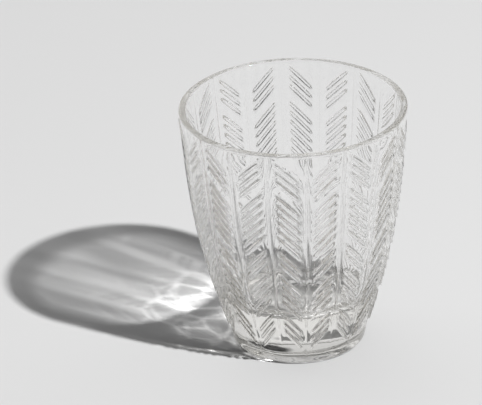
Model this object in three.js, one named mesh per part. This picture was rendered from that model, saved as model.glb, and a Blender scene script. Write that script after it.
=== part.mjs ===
// A pressed-glass whiskey tumbler: one moulding of clear glass, with nine chevron columns of raised ribs
// round its outside. Millimetres, +Z up, origin at the middle of the foot, on the surface it stands on.
import * as THREE from "three";
import { mergeVertices } from "three/addons/utils/BufferGeometryUtils.js";

const HEIGHT = 100;

// Outside of the wall, over the ribs: radius and height along one cubic curve, from the heel to the rim
const HEEL = [26.6, 3.0];
const BELLY_LOW = [36.7, 33.3];
const BELLY_HIGH = [41.9, 50.6];
const RIM = [44.6, HEIGHT];

// Rim: level on top, with the soft corners that fire polishing leaves
const RIM_THICKNESS = 2.84;
const RIM_CORNER = 0.7;

// Inside of the wall, from the shoulder of the floor to the rim
const SHOULDER = [31.0, 31.5];
const INSIDE_LOW = [34.8, 43.0];
const INSIDE_HIGH = [39.6, 66.0];
const FLOOR_BEND = [27.4, 21.0];
const FLOOR_EDGE = [19.0, 21.0];
const FLOOR_MIDDLE = 20.6;

// Foot: a flat ring to stand on, round a shallow hollow, and a heel that tucks in under the wall
const FOOT_OUTER = 24.4;
const FOOT_INNER = 21.0;
const HOLLOW_EDGE = 18.5;
const HOLLOW_DEPTH = 2.0;
const HEEL_TUCK = 0.9;

// Ribs: straight bars that fall from a peak spine to the valley spine next to it
const COLUMNS = 9;
const HALF_COLUMN = 180 / COLUMNS;
const FIRST_PEAK = -90 - 14.8;
const RIB_START = 3.2;
const RIB_END = 16.8;
const RIB_TAPER = 1.3;
const RIB_FALL = 0.735;
const FIRST_RIB = 97.0;
const RIB_PITCH = 3.77;
const RIB_HALF_WIDTH = 0.34;
const RIB_RISE = 0.7;
const RIB_GROUPS = [3, 6, 2, 4, 3];

// The bare wall between the ribs comes out flush with the rim over this much of the height
const RIM_BLEND = 14;

// How finely each curve is stepped, and how near two corners are before they are one
const HEEL_STEPS = 3;
const RIM_STEPS = 2;
const INSIDE_STEPS = 7;
const SHOULDER_STEPS = 3;
const WELD = 1e-4;

const degrees = THREE.MathUtils.degToRad;
const point = ([radius, height]) => new THREE.Vector2(radius, height);
const outside = new THREE.CubicBezierCurve(point(HEEL), point(BELLY_LOW), point(BELLY_HIGH), point(RIM));

// Radius of the wall's outside, over the ribs, at a height
function outsideRadius(height) {
  let low = 0;
  let high = 1;
  while (high - low > 1e-6) {
    const middle = (low + high) / 2;
    if (outside.getPoint(middle).y < height) low = middle;
    else high = middle;
  }
  return outside.getPoint(low).x;
}

// Lines that run along the ribs, counted in rib pitches below the first rib, each a crest or a groove
function ribLines() {
  const lines = [];
  let first = 0;
  for (const ribs of RIB_GROUPS) {
    lines.push({ down: first - RIB_HALF_WIDTH, crest: false });
    for (let rib = first; rib < first + ribs; rib++) {
      if (rib > first) lines.push({ down: rib - 0.5, crest: false });
      lines.push({ down: rib, crest: true });
    }
    first += ribs;
    lines.push({ down: first - 1 + RIB_HALF_WIDTH, crest: false });
    first += 1;
  }
  return lines;
}

// Steps across half a column, in degrees from its peak spine
const STEPS = [RIB_START, RIB_START + RIB_TAPER, RIB_END - RIB_TAPER, RIB_END];

// Angle of a lathe segment and how far it lies from the nearest peak spine
function place(segment) {
  const column = Math.floor(segment / (2 * STEPS.length));
  const step = segment % (2 * STEPS.length);
  const falling = step < STEPS.length;
  const fromPeak = falling ? STEPS[step] : STEPS[2 * STEPS.length - 1 - step];
  const turn = falling ? fromPeak : 2 * HALF_COLUMN - fromPeak;
  return { angle: FIRST_PEAK + column * 2 * HALF_COLUMN + turn, fromPeak };
}

const curvePoints = (curve, steps) => curve.getPoints(steps);

// A quarter round at the top of the wall, about a middle at this radius
function rimCorner(middle, from) {
  const level = HEIGHT - RIM_CORNER;
  const corner = new THREE.EllipseCurve(middle, level, RIM_CORNER, RIM_CORNER, from, from + Math.PI / 2);
  return curvePoints(corner, RIM_STEPS);
}

// Half section, from the middle of the underside out, up the wall, over the rim and back in to the floor
function section() {
  const rows = [];
  const add = (points) => points.forEach((p) => rows.push({ at: p }));
  add([point([0, HOLLOW_DEPTH]), point([HOLLOW_EDGE, HOLLOW_DEPTH]), point([FOOT_INNER, 0])]);
  const tuck = point([HEEL[0] - HEEL_TUCK, 0]);
  const heel = new THREE.QuadraticBezierCurve(point([FOOT_OUTER, 0]), tuck, point(HEEL));
  add(curvePoints(heel, HEEL_STEPS));
  for (const line of ribLines().reverse()) rows.push({ line });
  const mouth = point([RIM[0] - RIM_THICKNESS, HEIGHT - RIM_CORNER]);
  add(rimCorner(RIM[0] - RIM_CORNER, 0));
  add(rimCorner(mouth.x + RIM_CORNER, Math.PI / 2));
  const inside = new THREE.CubicBezierCurve(mouth, point(INSIDE_HIGH), point(INSIDE_LOW), point(SHOULDER));
  add(curvePoints(inside, INSIDE_STEPS).slice(1));
  const shoulder = new THREE.QuadraticBezierCurve(point(SHOULDER), point(FLOOR_BEND), point(FLOOR_EDGE));
  add(curvePoints(shoulder, SHOULDER_STEPS).slice(1));
  add([point([0, FLOOR_MIDDLE])]);
  return rows;
}

// Where a rib line crosses one of the steps round the wall. No rib stands out past the rim.
function onRibLine({ down, crest }, fromPeak) {
  const top = FIRST_RIB - RIB_PITCH * down;
  const height = top - RIB_FALL * (fromPeak - RIB_START);
  const full = crest && fromPeak > RIB_START && fromPeak < RIB_END;
  const sunk = RIB_RISE * THREE.MathUtils.clamp((HEIGHT - RIM_CORNER - height) / RIM_BLEND, 0, 1);
  const radius = outsideRadius(height) - sunk + (full ? RIB_RISE : 0);
  return { radius: Math.min(radius, RIM[0]), height };
}

// Turns the half section into the closed body, then bends the wall's rows along the ribs
function tumblerGeometry() {
  const rows = section();
  const plain = rows.map((row, i) => row.at ?? new THREE.Vector2(RIM[0], i));
  const segments = 2 * STEPS.length * COLUMNS;
  const lathe = new THREE.LatheGeometry(plain, segments);
  const position = lathe.getAttribute("position");
  for (let segment = 0; segment <= segments; segment++) {
    const { angle, fromPeak } = place(segment % segments);
    rows.forEach((row, i) => {
      const { radius, height } = row.at
        ? { radius: row.at.x, height: row.at.y }
        : onRibLine(row.line, fromPeak);
      const x = radius * Math.cos(degrees(angle));
      const y = radius * Math.sin(degrees(angle));
      position.setXYZ(segment * rows.length + i, x, y, height);
    });
  }
  lathe.deleteAttribute("normal");
  lathe.deleteAttribute("uv");
  const body = mergeVertices(lathe, WELD);
  body.computeVertexNormals();
  return body;
}

const clearGlass = new THREE.MeshStandardMaterial({ color: 0xe4e7e4, roughness: 0.04, metalness: 0 });
const glass = new THREE.Mesh(tumblerGeometry(), clearGlass);
glass.name = "tumbler_glass";

const tumbler = new THREE.Group();
tumbler.add(glass);

export default tumbler;
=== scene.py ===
import math

import bpy
import numpy as np
from mathutils import Matrix, Vector


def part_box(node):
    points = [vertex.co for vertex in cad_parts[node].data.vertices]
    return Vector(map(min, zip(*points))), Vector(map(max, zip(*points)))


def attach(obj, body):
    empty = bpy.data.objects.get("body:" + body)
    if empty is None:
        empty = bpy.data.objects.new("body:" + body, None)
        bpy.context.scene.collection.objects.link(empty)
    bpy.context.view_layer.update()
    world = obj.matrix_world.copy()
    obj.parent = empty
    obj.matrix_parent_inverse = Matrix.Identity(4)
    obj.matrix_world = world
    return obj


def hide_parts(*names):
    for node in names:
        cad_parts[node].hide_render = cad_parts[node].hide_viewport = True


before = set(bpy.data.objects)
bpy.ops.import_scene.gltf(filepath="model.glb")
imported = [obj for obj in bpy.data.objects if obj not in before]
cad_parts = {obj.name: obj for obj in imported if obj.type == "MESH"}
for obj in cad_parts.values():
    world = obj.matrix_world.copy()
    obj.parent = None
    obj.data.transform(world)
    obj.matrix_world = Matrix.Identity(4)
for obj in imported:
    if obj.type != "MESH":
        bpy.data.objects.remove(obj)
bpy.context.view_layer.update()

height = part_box("tumbler_glass")[1][2]  # metres, foot to rim
mm = 0.001
samePoint = 1e-6  # metres, points nearer than this are one


def linear(hexColour):  # sRGB hex to the linear colour Blender wants
    parts = [int(hexColour[i:i + 2], 16) / 255 for i in (1, 3, 5)]
    return [c / 12.92 if c <= 0.04045 else ((c + 0.055) / 1.055) ** 2.4 for c in parts] + [1.0]


# One node with its settings, its input values, what feeds it and, on a ramp, its stops of place and level
def addNode(tree, kind, settings=None, inputs=None, links=None, stops=()):
    node = tree.nodes.new(kind)
    for name, value in (settings or {}).items():
        setattr(node, name, value)
    for name, value in (inputs or {}).items():
        node.inputs[name].default_value = value
    for name, source in (links or {}).items():
        tree.links.new(source, node.inputs[name])
    if stops:
        elements = node.color_ramp.elements
        while len(elements) < len(stops):
            elements.new(0.5)
        for element, (place, level) in zip(elements, stops):
            element.position = place
            element.color = (level, level, level, 1.0)
    return node


def newMaterial(name):
    material = bpy.data.materials.new(name)
    material.use_nodes = True
    material.node_tree.nodes.clear()
    return material


def workOn(piece):  # the one selected, active object
    bpy.ops.object.select_all(action="DESELECT")
    piece.select_set(True)
    bpy.context.view_layer.objects.active = piece


def pick(piece, kind, wanted):  # selects the parts whose middle passes the test, then goes to edit mode
    bpy.ops.object.mode_set(mode="OBJECT")
    mesh = piece.data
    kinds = {"VERT": mesh.vertices, "EDGE": mesh.edges, "FACE": mesh.polygons}
    for parts in kinds.values():
        parts.foreach_set("select", [False] * len(parts))
    for part in kinds[kind]:
        if kind == "EDGE":
            middle = (mesh.vertices[part.vertices[0]].co + mesh.vertices[part.vertices[1]].co) / 2
        else:
            middle = part.co if kind == "VERT" else part.center
        part.select = bool(wanted(middle))
    bpy.context.tool_settings.mesh_select_mode = [kind == each for each in kinds]
    bpy.ops.object.mode_set(mode="EDIT")


def applyModifier(piece, kind, **settings):
    modifier = piece.modifiers.new(kind.lower(), kind)
    for name, value in settings.items():
        setattr(modifier, name, value)
    bpy.ops.object.modifier_apply(modifier=modifier.name)


cameraPlace = {
    "elevation": 26.5,  # degrees above the floor
    "distance": 2.35,  # metres
    "aim": (-0.0214, 0.0, 0.0589),
    "lean": 1.83,  # degrees that the camera is rolled
    "lens": 448, "sensor": 36,  # mm, a long lens from well back
}


def placeCamera():
    data = bpy.data.cameras.new("camera")
    data.sensor_width = cameraPlace["sensor"]
    data.lens = cameraPlace["lens"]
    camera = bpy.data.objects.new("camera", data)
    bpy.context.scene.collection.objects.link(camera)
    down = math.radians(cameraPlace["elevation"])
    ahead = Vector((0, math.cos(down), -math.sin(down)))
    turn = Matrix.Rotation(math.radians(90 - cameraPlace["elevation"]), 4, "X")
    lean = Matrix.Rotation(math.radians(-cameraPlace["lean"]), 4, "Z")
    place = Matrix.Translation(Vector(cameraPlace["aim"]) - ahead * cameraPlace["distance"])
    camera.matrix_world = place @ turn @ lean
    bpy.context.scene.camera = camera


placeCamera()
print("camera placed")


glassShape = {  # mm as (radius, height), and degrees round the glass
    # outside of the wall, over the ribs: one cubic curve from the heel to the rim's corner
    "heel": (26.6, 3.0), "bellyLow": (36.7, 33.3), "bellyHigh": (41.9, 50.6), "curveSteps": 400,
    "rimRadius": 44.6, "rimThickness": 2.84, "rimCorner": 0.7,
    "rimCrown": 0.05,  # makes up for what smoothing takes off the top
    "rimBlend": 14.0,  # the bare wall comes out flush with the rim over this height
    "rimProud": 0.45,  # of their full rise is left to the ribs at the rim
    # inside of the wall, and how far down its curve each row of faces ends
    "insideHigh": (39.6, 66.0), "insideLow": (34.8, 43.0), "shoulder": (31.0, 31.5),
    "insideRows": (0.35, 0.7, 1.0),
    "floorBend": ((28.0, 24.2), (24.0, 21.4)), "floorEdge": (19.0, 21.0), "floorMiddle": 20.6,
    "footOuter": 24.4, "footInner": 21.0, "hollowEdge": 18.5, "hollowDepth": 2.0,
    "heelTurn": (1.5, 0.7),  # out and up from the foot ring, where it turns up into the heel
    "columns": 9, "firstPeak": -14.8,  # degrees from the front
    "stripRadius": 40.0,  # the flat strip is as wide as the wall is at this radius
    # ribs, from the top one down, with one left out between groups
    "ribGroups": (3, 6, 2, 4, 3), "firstRib": 97.0, "ribPitch": 3.77,
    "ribHalfWidth": 0.31,  # of the pitch
    "ribStart": 3.2, "ribEnd": 16.8, "ribFall": 0.735,  # degrees from the peak spine, and mm down for each
    "slantMargin": 1.0,  # degrees past a rib's ends that slant with it
    "ribRise": 1.0, "ribFlank": 0.68,
    "ribCrease": 0.1, "cornerCrease": 0.45, "footCrease": 1.0,  # how sharp smoothing leaves each, 0 to 1
    "spineWidth": 0.65, "spineRise": 0.35, "spineOverrun": 0.1,  # past the first and last rib
    "smoothing": 2,
    "cutWithin": 1e-7, "weldWithin": 2e-6,  # metres
}
halfColumn = 180 / glassShape["columns"]  # degrees from a peak spine to the next valley spine
perDegree = math.radians(glassShape["stripRadius"]) * mm  # metres along the strip for each degree of turn
stripWidth = halfColumn * perDegree


def cubic(points, t):
    a, b, c, d = [np.array(p) for p in points]
    return (1 - t) ** 3 * a + 3 * t * (1 - t) ** 2 * b + 3 * t ** 2 * (1 - t) * c + t ** 3 * d


def outsideSteps():  # of the wall, over the ribs, from the heel to the rim's corner
    g = glassShape
    rim = (g["rimRadius"], height / mm - g["rimCorner"])
    corners = [g["heel"], g["bellyLow"], g["bellyHigh"], rim]
    return np.array([cubic(corners, t) for t in np.linspace(0, 1, g["curveSteps"])])


overRibs = outsideSteps()
wallFoot, wallTop = overRibs[0], overRibs[-1]


def ribEdges():  # heights of the lower and upper edge of every rib, top rib first
    g = glassShape
    edges = []
    row = 0
    halfWidth = g["ribPitch"] * g["ribHalfWidth"]
    for count in g["ribGroups"]:
        for i in range(count):
            middle = g["firstRib"] - g["ribPitch"] * (row + i)
            edges.append((middle - halfWidth, middle + halfWidth))
        row += count + 1
    return edges


def wallRadius(z):  # of the bare wall between the ribs, in mm, which meets the heel and the rim smoothly
    g = glassShape
    lastRib = ribEdges()[-1][0] - g["ribFall"] * (g["ribEnd"] - g["ribStart"])
    sunk = np.interp(z, [wallFoot[1], lastRib, wallTop[1] - g["rimBlend"], wallTop[1]], [0, 1, 1, 0])
    return np.interp(z, overRibs[:, 1], overRibs[:, 0]) - g["ribRise"] * sunk


def flatWall(z):  # the same wall in the flat strip, where it is straight
    return np.interp(z, [wallFoot[1], wallTop[1]], [wallFoot[0], wallTop[0]])


def section():  # half section of the glass, from the middle of the underside round to the middle of the floor
    g = glassShape
    hollow, floorOut = g["hollowDepth"], g["floorEdge"][0]
    points = [(0.0, hollow), (g["hollowEdge"] / 2, hollow), (g["hollowEdge"], hollow)]
    points += [(g["footInner"], 0.0), (g["footOuter"], 0.0)]
    points += [(g["footOuter"] + g["heelTurn"][0], g["heelTurn"][1]), g["heel"]]
    wall = [z for edge in reversed(ribEdges()) for z in edge]
    points += [(flatWall(z), z) for z in [(g["heel"][1] + wall[0]) / 2] + wall]
    mouth = g["rimRadius"] - g["rimThickness"]
    crown = height / mm + g["rimCrown"]
    points += [tuple(wallTop), (g["rimRadius"], crown), (mouth, crown), (mouth, wallTop[1])]
    inside = [points[-1], g["insideHigh"], g["insideLow"], g["shoulder"]]
    points += [tuple(cubic(inside, t)) for t in g["insideRows"]]
    points += [*g["floorBend"], g["floorEdge"], (floorOut / 2, g["floorMiddle"]), (0.0, g["floorMiddle"])]
    return points


def pushOutStrip():  # half a column, laid flat: the section's first edge, pushed on from point to point
    bpy.ops.object.select_all(action="DESELECT")
    bpy.ops.mesh.primitive_plane_add(size=stripWidth)
    strip = bpy.context.object
    strip.name = "tumbler"
    pick(strip, "VERT", lambda at: at.y > 0)
    bpy.ops.mesh.delete(type="VERT")
    bpy.ops.mesh.select_all(action="SELECT")
    points = [Vector((0, r * mm, z * mm)) for r, z in section()]
    toStart = points[0] + Vector((stripWidth / 2, stripWidth / 2, 0))
    bpy.ops.transform.translate(value=toStart)
    for here, there in zip(points, points[1:]):
        bpy.ops.mesh.extrude_edges_move(TRANSFORM_OT_translate={"value": there - here})
    return strip


def raiseRibs(strip):
    g = glassShape
    for cut in (g["spineWidth"], g["ribStart"], g["ribEnd"], halfColumn - g["spineWidth"]):
        bpy.ops.mesh.select_all(action="SELECT")
        bpy.ops.mesh.bisect(plane_co=(cut * perDegree, 0, 0), plane_no=(1, 0, 0), threshold=g["cutWithin"])
    edges = ribEdges()
    highest, lowest = edges[0][1] + g["spineOverrun"], edges[-1][0] - g["spineOverrun"]
    near = 1e-3  # mm or degrees, this close is touching
    ribTop = g["ribRise"] * 0.9  # anything prouder is the top of a rib
    belowRim = wallTop[1] - 1
    spineTop = 0.3  # just under the spine's rise

    def proud(at):  # how far a point stands out from the bare wall
        return at.y / mm - flatWall(at.z / mm)

    def onWall(at):
        return wallFoot[1] - near < at.z / mm < wallTop[1] + near and abs(proud(at)) < near

    def alongRib(at):
        return g["ribStart"] < at.x / perDegree < g["ribEnd"]

    def atRibEnd(at):
        turn = at.x / perDegree
        return min(abs(turn - g["ribStart"]), abs(turn - g["ribEnd"])) < near

    def betweenEdges(at):
        return any(low < at.z / mm < high for low, high in edges)

    def onEdge(at):
        return any(min(abs(at.z / mm - low), abs(at.z / mm - high)) < near for low, high in edges)

    def onRib(at):
        return onWall(at) and alongRib(at) and betweenEdges(at)

    def onRibFoot(at):
        return onWall(at) and (atRibEnd(at) and betweenEdges(at) or alongRib(at) and onEdge(at))

    def onRibCorner(at):
        onTop = proud(at) > ribTop and wallFoot[1] < at.z / mm < belowRim
        return onTop or atRibEnd(at) and onWall(at) and onEdge(at)

    def onSpine(at):
        atSide = at.x < samePoint or at.x > stripWidth - samePoint
        return atSide and lowest < at.z / mm < highest

    # the wall's points are kept as a group, which smoothing hands on to the points it adds
    pick(strip, "VERT", onWall)
    bpy.ops.object.vertex_group_add()
    bpy.ops.object.vertex_group_assign()
    # the ribs are inset outwards, so the wall has to face out first
    bpy.ops.mesh.select_all(action="SELECT")
    bpy.ops.mesh.normals_make_consistent(inside=False)
    pick(strip, "FACE", onRib)
    if next(face for face in strip.data.polygons if face.select).normal.y < 0:
        bpy.ops.mesh.select_all(action="SELECT")
        bpy.ops.mesh.flip_normals()
        pick(strip, "FACE", onRib)
    bpy.ops.mesh.inset(thickness=g["ribFlank"] * mm, depth=g["ribRise"] * mm, use_individual=True)
    bpy.ops.mesh.region_to_loop()
    bpy.ops.transform.edge_crease(value=g["ribCrease"])
    pick(strip, "EDGE", onRibFoot)
    bpy.ops.transform.edge_crease(value=g["footCrease"])
    pick(strip, "VERT", onRibCorner)
    bpy.ops.transform.vert_crease(value=g["cornerCrease"])
    pick(strip, "VERT", lambda at: onSpine(at) and onWall(at))
    bpy.ops.transform.translate(value=(0, g["spineRise"] * mm, 0))
    pick(strip, "EDGE", lambda at: onSpine(at) and proud(at) > spineTop)
    bpy.ops.transform.edge_crease(value=g["ribCrease"])
    bpy.ops.object.mode_set(mode="OBJECT")


def repeatStrip(strip):  # both halves of a column, then all the columns with one to spare at each end
    g = glassShape
    workOn(strip)
    applyModifier(strip, "MIRROR", merge_threshold=samePoint)
    applyModifier(strip, "ARRAY", use_relative_offset=False, use_constant_offset=True,
                  constant_offset_displace=(2 * stripWidth, 0, 0), count=g["columns"] + 2,
                  use_merge_vertices=True, merge_threshold=samePoint)
    applyModifier(strip, "SUBSURF", levels=g["smoothing"], render_levels=g["smoothing"],
                  use_limit_surface=False)
    firstCut, lastCut = stripWidth, stripWidth * (2 * g["columns"] + 1)
    bpy.ops.object.mode_set(mode="EDIT")
    for cut, clear in ((firstCut, "clear_inner"), (lastCut, "clear_outer")):
        bpy.ops.mesh.select_all(action="SELECT")
        bpy.ops.mesh.bisect(plane_co=(cut, 0, 0), plane_no=(1, 0, 0), threshold=samePoint, **{clear: True})
    bpy.ops.object.mode_set(mode="OBJECT")


def rollUp(strip):  # slants the ribs and gives the wall its curve, then wraps the strip round into the glass
    g = glassShape
    mesh = strip.data
    flat = np.empty(len(mesh.vertices) * 3)
    mesh.vertices.foreach_get("co", flat)
    x, y, z = flat.reshape(-1, 3).T
    turn, y, z = x / perDegree, y / mm, z / mm
    someWeight = 0.01
    isWall = np.array([any(group.weight > someWeight for group in point.groups) for point in mesh.vertices])
    isWall &= (z > wallFoot[1]) & (z < wallTop[1])
    fromPeak = np.abs((turn + halfColumn) % (2 * halfColumn) - halfColumn)
    ribs = ribEdges()
    share = np.interp(z, [wallFoot[1], ribs[-1][0], ribs[0][1], wallTop[1]], [0, 1, 1, 0])
    ribLength = g["ribEnd"] - g["ribStart"]
    along = np.clip(fromPeak - g["ribStart"], -g["slantMargin"], ribLength + g["slantMargin"])
    lower = np.where(isWall, z - along * g["ribFall"] * share, z)
    # the ribs stand less proud where the bare wall comes out to meet the rim
    fade = np.interp(lower, [wallTop[1] - g["rimBlend"], wallTop[1]], [1.0, g["rimProud"]])
    radius = np.where(isWall, wallRadius(lower) + (y - flatWall(z)) * fade, y)
    angle = np.radians(turn + g["firstPeak"])
    rolled = np.stack([radius * np.sin(angle), -radius * np.cos(angle), lower], axis=1) * mm
    mesh.vertices.foreach_set("co", rolled.ravel())
    bpy.ops.object.mode_set(mode="EDIT")
    bpy.ops.mesh.select_all(action="SELECT")
    bpy.ops.mesh.remove_doubles(threshold=g["weldWithin"])
    bpy.ops.mesh.normals_make_consistent(inside=False)
    bpy.ops.object.mode_set(mode="OBJECT")
    bpy.ops.object.shade_smooth()


tumbler = pushOutStrip()
raiseRibs(tumbler)
repeatStrip(tumbler)
rollUp(tumbler)
print("glass body modelled,", len(tumbler.data.polygons), "faces")


glassFinish = {
    "tint": "#ffffff", "ior": 1.52, "roughness": 0.0,
    "depthTint": "#fbf8f0", "depthDensity": 8.0,  # a faint straw grey that only thick glass shows
    "waveLength": 9.0, "waveHeight": 0.05,  # mm, the slow waviness that the mould and the flame leave
    # the share of a lamp ray let through, from square on to edge on, and from foot to rim: painted light
    # raises it under the thick floor as if it gathered light, and painted shade cuts it at the rim as if it
    # scattered it
    "throughByFacing": ((0.0, 1.0), (0.4, 0.91), (0.65, 0.45), (0.9, 0.0)),
    "paintedLampGainByHeight": ((0.24, 1.28), (0.32, 1.0), (0.84, 1.0), (0.92, 0.52)),
    # painted caustics: bright threads of lamp light drawn by a cell pattern into what the glass lets through,
    # standing in for what uneven glass throws: mm apart, and up to a height in mm, where they fade
    "paintedCausticSpacing": 12.0, "paintedCausticTop": 48.0, "paintedCausticFadeFrom": 0.6,
    "paintedCausticBoost": 1.5, "paintedCausticDim": 0.86, "paintedCausticWidth": 0.12,
    "wallLoss": 0.77,  # what the ribs and the curved wall turn aside, higher up
    # painted streaks of light and shade in the glass's shadow, long and soft as if thrown by the columns, in
    # mm
    "paintedStreakWidth": 9.0, "paintedStreakStretch": 0.12, "paintedStreakFrom": (0.35, 0.65), "paintedStreakRange": (0.8, 1.2),
    "noiseDetail": 1.0,
}


def lampShare(tree, where):  # what a shadow ray finds: less of the lamp comes through towards the edges
    g = glassFinish
    parts = addNode(tree, "ShaderNodeSeparateXYZ", links={0: where.outputs["Object"]})
    level = addNode(tree, "ShaderNodeMath", settings={"operation": "DIVIDE"}, inputs={1: height},
                    links={0: parts.outputs["Z"]})
    facing = addNode(tree, "ShaderNodeLayerWeight", inputs={"Blend": 0.5})
    byFacing = addNode(tree, "ShaderNodeValToRGB", links={"Fac": facing.outputs["Facing"]},
                       stops=g["throughByFacing"])
    # painted light and shade by height: more lamp light than passes under the thick floor, less at the rim
    paintedLampByHeight = addNode(tree, "ShaderNodeValToRGB", links={"Fac": level.outputs[0]},
                       stops=g["paintedLampGainByHeight"])
    # painted caustic light: a cell pattern lets more of the lamp through along its edges, so bright threads
    # are painted into the shadow
    paintedCausticCells = addNode(tree, "ShaderNodeTexVoronoi", settings={"feature": "DISTANCE_TO_EDGE"},
                      inputs={"Scale": 1 / (g["paintedCausticSpacing"] * mm)}, links={"Vector": where.outputs["Object"]})
    paintedCausticLevel = addNode(tree, "ShaderNodeMapRange", inputs={
        "From Min": 0.0, "From Max": g["paintedCausticWidth"],
        "To Min": g["paintedCausticBoost"], "To Max": g["paintedCausticDim"]}, links={"Value": paintedCausticCells.outputs["Distance"]})
    low = addNode(tree, "ShaderNodeMapRange", inputs={
        "From Min": g["paintedCausticTop"] * mm * g["paintedCausticFadeFrom"], "From Max": g["paintedCausticTop"] * mm,
        "To Min": 1.0, "To Max": 0.0}, links={"Value": parts.outputs["Z"]})
    gain = addNode(tree, "ShaderNodeMix", inputs={2: g["wallLoss"]},
                   links={0: low.outputs[0], 3: paintedCausticLevel.outputs[0]})
    # painted streaks: stretched noise makes the lamp light let through stronger and weaker in long soft bands
    upright = addNode(tree, "ShaderNodeMapping", inputs={"Scale": (1.0, 1.0, g["paintedStreakStretch"])},
                      links={"Vector": where.outputs["Object"]})
    paintedStreakNoise = addNode(tree, "ShaderNodeTexNoise", links={"Vector": upright.outputs["Vector"]},
                      inputs={"Scale": 1 / (g["paintedStreakWidth"] * mm), "Detail": g["noiseDetail"]})
    paintedStreakLevel = addNode(tree, "ShaderNodeMapRange", inputs={
        "From Min": g["paintedStreakFrom"][0], "From Max": g["paintedStreakFrom"][1],
        "To Min": g["paintedStreakRange"][0], "To Max": g["paintedStreakRange"][1]},
        links={"Value": paintedStreakNoise.outputs["Fac"]})
    evenly = addNode(tree, "ShaderNodeMath", settings={"operation": "MULTIPLY"},
                     links={0: gain.outputs[0], 1: paintedStreakLevel.outputs[0]})
    both = addNode(tree, "ShaderNodeVectorMath", settings={"operation": "MULTIPLY"},
                   links={0: byFacing.outputs["Color"], 1: paintedLampByHeight.outputs["Color"]})
    total = addNode(tree, "ShaderNodeVectorMath", settings={"operation": "SCALE"},
                    links={0: both.outputs[0], "Scale": evenly.outputs[0]})
    return addNode(tree, "ShaderNodeBsdfTransparent", links={"Color": total.outputs[0]})


def firePolishedGlass():
    # Pressed soda-lime glass, reheated after the mould: clear and glossy all over with soft corners, wavy
    # rather than optically flat, so what stands behind it wobbles, and slightly straw grey where it is thick.
    g = glassFinish
    material = newMaterial("fire_polished_soda_lime_glass")
    tree = material.node_tree
    where = addNode(tree, "ShaderNodeTexCoord")
    waves = addNode(tree, "ShaderNodeTexNoise", links={"Vector": where.outputs["Object"]},
                    inputs={"Scale": 1 / (g["waveLength"] * mm), "Detail": g["noiseDetail"]})
    wavy = addNode(tree, "ShaderNodeBump", inputs={"Strength": 1.0, "Distance": g["waveHeight"] * mm},
                   links={"Height": waves.outputs["Fac"]})
    body = addNode(tree, "ShaderNodeBsdfPrincipled", inputs={
        "Base Color": linear(g["tint"]), "Transmission Weight": 1.0, "IOR": g["ior"],
        "Roughness": g["roughness"]}, links={"Normal": wavy.outputs["Normal"]})
    # shadow rays see the lamp share instead of the glass, with its painted caustic threads and painted
    # streaks of light and shade
    ray = addNode(tree, "ShaderNodeLightPath")
    glass = addNode(tree, "ShaderNodeMixShader", links={
        0: ray.outputs["Is Shadow Ray"], 1: body.outputs[0], 2: lampShare(tree, where).outputs[0]})
    depth = addNode(tree, "ShaderNodeVolumeAbsorption", inputs={
        "Color": linear(g["depthTint"]), "Density": g["depthDensity"]})
    addNode(tree, "ShaderNodeOutputMaterial", links={"Surface": glass.outputs[0], "Volume": depth.outputs[0]})
    return material


tumbler.data.materials.clear()
tumbler.data.materials.append(firePolishedGlass())
print("glass material made")


studio = {
    "floorColour": "#dcdcdc", "floorSize": 4.0, "floorRoughness": 0.7, "floorShine": 0.2,
    "keyTurn": 38, "keyHeight": 48, "keyDistance": 5.0, "keySize": 0.16, "keyPower": 298,
    # how bright the room is: dim before and above the glass, and a pale wall behind it up to the ceiling
    "roomFront": 0.05, "roomBack": ((0.0, 0.62), (0.75, 0.6), (0.95, 0.2)),
    "roomTurn": (0.0, 0.4),  # where the front gives way to the back
    "flagTurn": 64, "flagHeight": 30, "flagEdge": (20, 12),  # degrees, a black flag draws the dark strokes
    "flagLevel": 0.01,
    "bounces": 40,  # light meets many glass surfaces on its way through
}


def mattBoard():
    # Painted board, rolled on and dry: an even pale grey with hardly any shine, so the shadow stays clean.
    material = newMaterial("matt_pale_board")
    surface = addNode(material.node_tree, "ShaderNodeBsdfPrincipled", inputs={
        "Base Color": linear(studio["floorColour"]), "Roughness": studio["floorRoughness"],
        "Specular IOR Level": studio["floorShine"]})
    addNode(material.node_tree, "ShaderNodeOutputMaterial", links={"Surface": surface.outputs[0]})
    return material


def layFloor():
    bpy.ops.object.select_all(action="DESELECT")
    bpy.ops.mesh.primitive_plane_add(size=studio["floorSize"])
    floor = bpy.context.object
    floor.name = "floor"
    floor.data.materials.append(mattBoard())


def hangKeyLamp():
    data = bpy.data.lights.new("key", "AREA")
    data.shape = "DISK"
    data.size = studio["keySize"]
    data.energy = studio["keyPower"]
    key = bpy.data.objects.new("key", data)
    bpy.context.scene.collection.objects.link(key)
    side, up = math.radians(studio["keyTurn"]), math.radians(studio["keyHeight"])
    toKey = Vector((math.cos(side) * math.cos(up), -math.sin(side) * math.cos(up), math.sin(up)))
    key.location = Vector((0, 0, height / 2)) + toKey * studio["keyDistance"]
    key.rotation_euler = toKey.to_track_quat("Z", "Y").to_euler()


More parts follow.
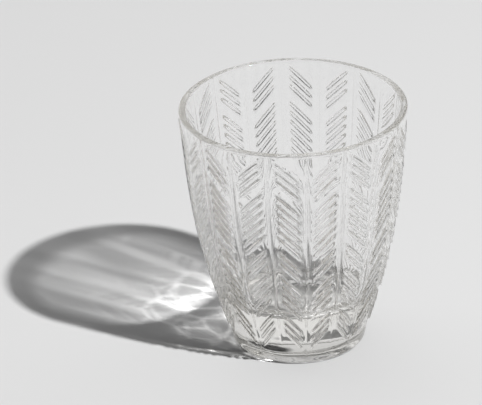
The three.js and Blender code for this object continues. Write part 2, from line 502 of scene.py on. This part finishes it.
def lightRoom():
    world = bpy.data.worlds.new("studio")
    bpy.context.scene.world = world
    world.use_nodes = True
    tree = world.node_tree
    tree.nodes.clear()
    where = addNode(tree, "ShaderNodeTexCoord")
    parts = addNode(tree, "ShaderNodeSeparateXYZ", links={0: where.outputs["Generated"]})
    behind = addNode(tree, "ShaderNodeMapRange", settings={"interpolation_type": "SMOOTHSTEP"}, inputs={
        "From Min": studio["roomTurn"][0], "From Max": studio["roomTurn"][1]},
        links={"Value": parts.outputs["Y"]})
    wall = addNode(tree, "ShaderNodeValToRGB", links={"Fac": parts.outputs["Z"]}, stops=studio["roomBack"])
    blend = addNode(tree, "ShaderNodeMix", inputs={2: studio["roomFront"]},
                    links={0: behind.outputs[0], 3: wall.outputs["Color"]})
    side, up = math.radians(studio["flagTurn"]), math.radians(studio["flagHeight"])
    toFlag = (math.cos(side) * math.cos(up), math.sin(side) * math.cos(up), math.sin(up))
    nearFlag = addNode(tree, "ShaderNodeVectorMath", settings={"operation": "DOT_PRODUCT"},
                       inputs={1: toFlag}, links={0: where.outputs["Generated"]})
    outer, inner = [math.cos(math.radians(edge)) for edge in studio["flagEdge"]]
    flag = addNode(tree, "ShaderNodeMapRange", settings={"interpolation_type": "SMOOTHSTEP"}, inputs={
        "From Min": outer, "From Max": inner, "To Min": 1.0, "To Max": studio["flagLevel"]},
        links={"Value": nearFlag.outputs["Value"]})
    room = addNode(tree, "ShaderNodeMath", settings={"operation": "MULTIPLY"},
                   links={0: blend.outputs["Result"], 1: flag.outputs[0]})
    sky = addNode(tree, "ShaderNodeBackground", inputs={"Color": (1, 1, 1, 1)},
                  links={"Strength": room.outputs[0]})
    addNode(tree, "ShaderNodeOutputWorld", links={"Surface": sky.outputs[0]})


layFloor()
hangKeyLamp()
lightRoom()
scene = bpy.context.scene
scene.view_settings.view_transform = "Standard"
scene.cycles.max_bounces = studio["bounces"]
scene.cycles.transmission_bounces = studio["bounces"]
scene.cycles.glossy_bounces = studio["bounces"]
scene.cycles.caustics_refractive = False  # the glass material lets the lamp through instead
scene.cycles.caustics_reflective = False
print("studio lit")

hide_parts("tumbler_glass")
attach(tumbler, "root")
